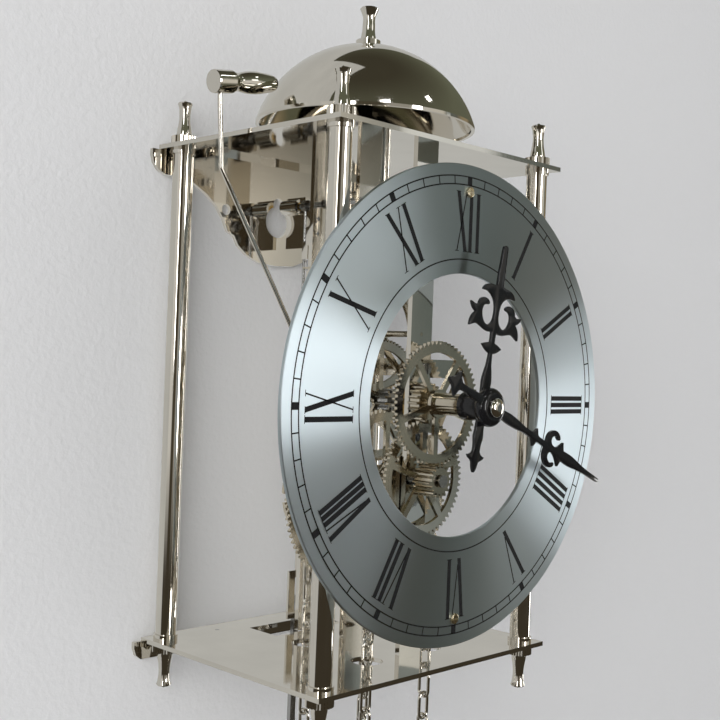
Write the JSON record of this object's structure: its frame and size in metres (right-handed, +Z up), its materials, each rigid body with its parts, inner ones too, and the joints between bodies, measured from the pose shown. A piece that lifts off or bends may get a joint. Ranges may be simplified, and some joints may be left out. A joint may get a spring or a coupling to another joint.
{
  "type": "skeleton wall clock",
  "caption": "Open-frame striking wall clock on two plates and four posts: ring dial, pierced hands, visible wheels, bell with side hammer, pendulum and two chain weights.",
  "frame": {"origin": "centre of the wall screw's shank, at the top of the keyhole, on the wall's face", "axes": "+X to the viewer's right, +Y into the wall, +Z up; the clock hangs at negative Y"},
  "size_m": [0.15, 0.1071, 0.368],
  "materials": {
    "nickel": "mirror polished nickel plate",
    "brass": "polished and lacquered",
    "dial_silver": "fine brushed, silvered",
    "steel": "polished steel",
    "hand_black": "black gloss lacquer",
    "spring_steel": "blued spring steel"
  },
  "bodies": {
    "frame": {"top_plate": "nickel", "bottom_plate": "nickel", "post_front_left": "nickel", "post_front_right": "nickel", "post_back_left": "nickel", "post_back_right": "nickel", "finials": "nickel", "knurled_nuts": "nickel", "wall_bracket": "nickel", "lower_spacer": "nickel", "frame_screws": "steel", "front_bar": "nickel", "middle_bar": "nickel", "rear_bar": "nickel", "dial_ring": "dial_silver", "dial_feet": "nickel", "dial_screws": "brass", "bell": "nickel", "bell_stand": "nickel", "bell_finial": "nickel", "anchor_cock": "nickel", "anchor_bushing": "brass", "suspension_block": "brass", "motion_stud": "steel", "going_chain": "nickel", "strike_chain": "nickel"},
    "minute_train": {"centre_arbor": "steel", "centre_wheel": "nickel", "cannon_pinion": "steel", "tension_washer": "nickel", "minute_hand": "hand_black", "hand_nut": "nickel"},
    "hour_work": {"hour_wheel": "nickel", "hour_hand": "hand_black"},
    "minute_work": {"minute_wheel": "nickel"},
    "great_train": {"great_arbor": "steel", "great_wheel": "nickel", "chain_wheel": "nickel"},
    "third_train": {"third_wheel": "nickel"},
    "escape_train": {"escape_wheel": "nickel"},
    "pallets": {"anchor": "steel", "anchor_arbor": "steel", "crutch": "steel"},
    "pendulum": {"suspension_blade": "spring_steel", "pendulum_leader": "steel", "pendulum_rod": "nickel", "pendulum_bob": "brass", "rating_nut": "brass"},
    "strike_pins": {"pin_wheel": "nickel"},
    "strike_great": {"strike_great_wheel": "nickel", "strike_chain_wheel": "nickel", "count_wheel": "nickel"},
    "strike_locking": {"locking_wheel": "nickel"},
    "strike_fly": {"fly": "nickel"},
    "hammer": {"hammer_head": "nickel", "hammer_rod": "nickel", "hammer_arbor": "steel"},
    "lever": {"lifting_lever": "steel"},
    "going_drive": {"going_weight": "nickel"},
    "strike_drive": {"strike_weight": "nickel"}
  },
  "joints": [
    {"name": "minute_turn", "type": "hinge", "parent": "frame", "child": "minute_train", "pos_m": [0, -0.05, -0.069], "axis": [0, 1, 0], "continuous": true},
    {"name": "hour_turn", "type": "hinge", "parent": "frame", "child": "hour_work", "pos_m": [0, -0.05, -0.069], "axis": [0, 1, 0], "continuous": true},
    {"name": "minute_wheel_turn", "type": "hinge", "parent": "frame", "child": "minute_work", "pos_m": [0, -0.05, -0.0934], "axis": [0, 1, 0], "continuous": true},
    {"name": "great_turn", "type": "hinge", "parent": "frame", "child": "great_train", "pos_m": [0, -0.05, -0.102], "axis": [0, 1, 0], "continuous": true},
    {"name": "third_turn", "type": "hinge", "parent": "frame", "child": "third_train", "pos_m": [0, -0.05, -0.047], "axis": [0, 1, 0], "continuous": true},
    {"name": "escape_turn", "type": "hinge", "parent": "frame", "child": "escape_train", "pos_m": [0, -0.05, -0.025], "axis": [0, 1, 0], "continuous": true},
    {"name": "pin_wheel_turn", "type": "hinge", "parent": "frame", "child": "strike_pins", "pos_m": [0, -0.05, -0.069], "axis": [0, 1, 0], "continuous": true},
    {"name": "strike_great_turn", "type": "hinge", "parent": "frame", "child": "strike_great", "pos_m": [0, -0.05, -0.102], "axis": [0, 1, 0], "continuous": true},
    {"name": "locking_turn", "type": "hinge", "parent": "frame", "child": "strike_locking", "pos_m": [0, -0.05, -0.047], "axis": [0, 1, 0], "continuous": true},
    {"name": "fly_turn", "type": "hinge", "parent": "frame", "child": "strike_fly", "pos_m": [0, -0.05, -0.025], "axis": [0, 1, 0], "continuous": true},
    {"name": "pendulum_swing", "type": "hinge", "parent": "frame", "child": "pendulum", "pos_m": [0, -0.05, -0.021], "axis": [0, 1, 0], "range_deg": [-3, 3]},
    {"name": "pallet_swing", "type": "hinge", "parent": "frame", "child": "pallets", "pos_m": [0, -0.05, -0.0015], "axis": [0, 1, 0], "range_deg": [-1.6, 1.6]},
    {"name": "hammer_swing", "type": "hinge", "parent": "frame", "child": "hammer", "pos_m": [-0.0196, -0.05, -0.058], "axis": [0, 1, 0], "range_deg": [-12, 1.8]},
    {"name": "lever_swing", "type": "hinge", "parent": "frame", "child": "lever", "pos_m": [0.0196, -0.05, -0.058], "axis": [0, 1, 0], "range_deg": [-6, 6]},
    {"name": "going_weight_swing", "type": "hinge", "parent": "frame", "child": "going_drive", "pos_m": [0.01401, -0.05, -0.2114], "axis": [0, 1, 0], "range_deg": [-8, 8]},
    {"name": "strike_weight_swing", "type": "hinge", "parent": "frame", "child": "strike_drive", "pos_m": [-0.01401, -0.05, -0.2114], "axis": [0, 1, 0], "range_deg": [-8, 8]}
  ],
  "couplings": [
    {"joint": "hour_turn", "follows": "minute_turn", "ratio": 0.083333},
    {"joint": "minute_wheel_turn", "follows": "minute_turn", "ratio": -0.33333},
    {"joint": "great_turn", "follows": "minute_turn", "ratio": -0.11111},
    {"joint": "third_turn", "follows": "minute_turn", "ratio": -10},
    {"joint": "escape_turn", "follows": "minute_turn", "ratio": 100},
    {"joint": "strike_great_turn", "follows": "pin_wheel_turn", "ratio": -0.11111},
    {"joint": "locking_turn", "follows": "pin_wheel_turn", "ratio": -10},
    {"joint": "fly_turn", "follows": "pin_wheel_turn", "ratio": 100},
    {"joint": "pallet_swing", "follows": "pendulum_swing", "ratio": 0.48}
  ]
}
